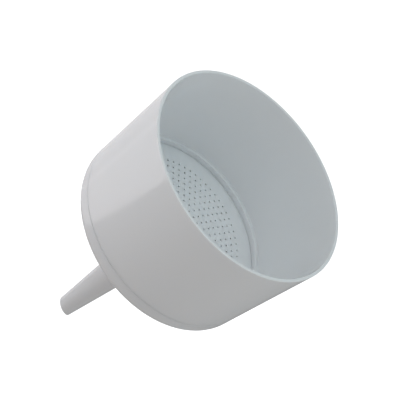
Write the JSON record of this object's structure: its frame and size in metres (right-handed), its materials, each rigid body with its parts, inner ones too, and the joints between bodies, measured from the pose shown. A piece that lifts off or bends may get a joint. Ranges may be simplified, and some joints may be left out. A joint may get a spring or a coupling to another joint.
{
  "type": "buchner funnel",
  "caption": "Deep plastic vacuum filter funnel: straight-sided bowl, loose perforated plate on a shelf, rounded base and long tapered stem with a slanted tip.",
  "frame": {"origin": "where the slanted cut of the stem's open tip crosses the axis, at the mouth of the outlet bore", "axes": "+Z along the funnel's axis from the stem's tip up out of the bowl; the tip's long point is on the side at 52 degrees from +X towards +Y, and all else is equal all round"},
  "size_m": [0.212, 0.212, 0.3111],
  "materials": {
    "bowl_plastic": "satin white moulded polypropylene",
    "plate_plastic": "satin white moulded polypropylene with drilled holes",
    "base_plastic": "satin white moulded polypropylene"
  },
  "bodies": {
    "base": {"stem_base": "base_plastic"},
    "bowl": {"upper_bowl": "bowl_plastic"},
    "plate": {"filter_plate": "plate_plastic"}
  },
  "joints": [
    {"name": "bowl_lift", "type": "slide", "parent": "base", "child": "bowl", "axis": [0, 0, 1], "range_m": [0, 0.04]},
    {"name": "plate_lift", "type": "slide", "parent": "bowl", "child": "plate", "axis": [0, 0, 1], "range_m": [0, 0.14]}
  ]
}
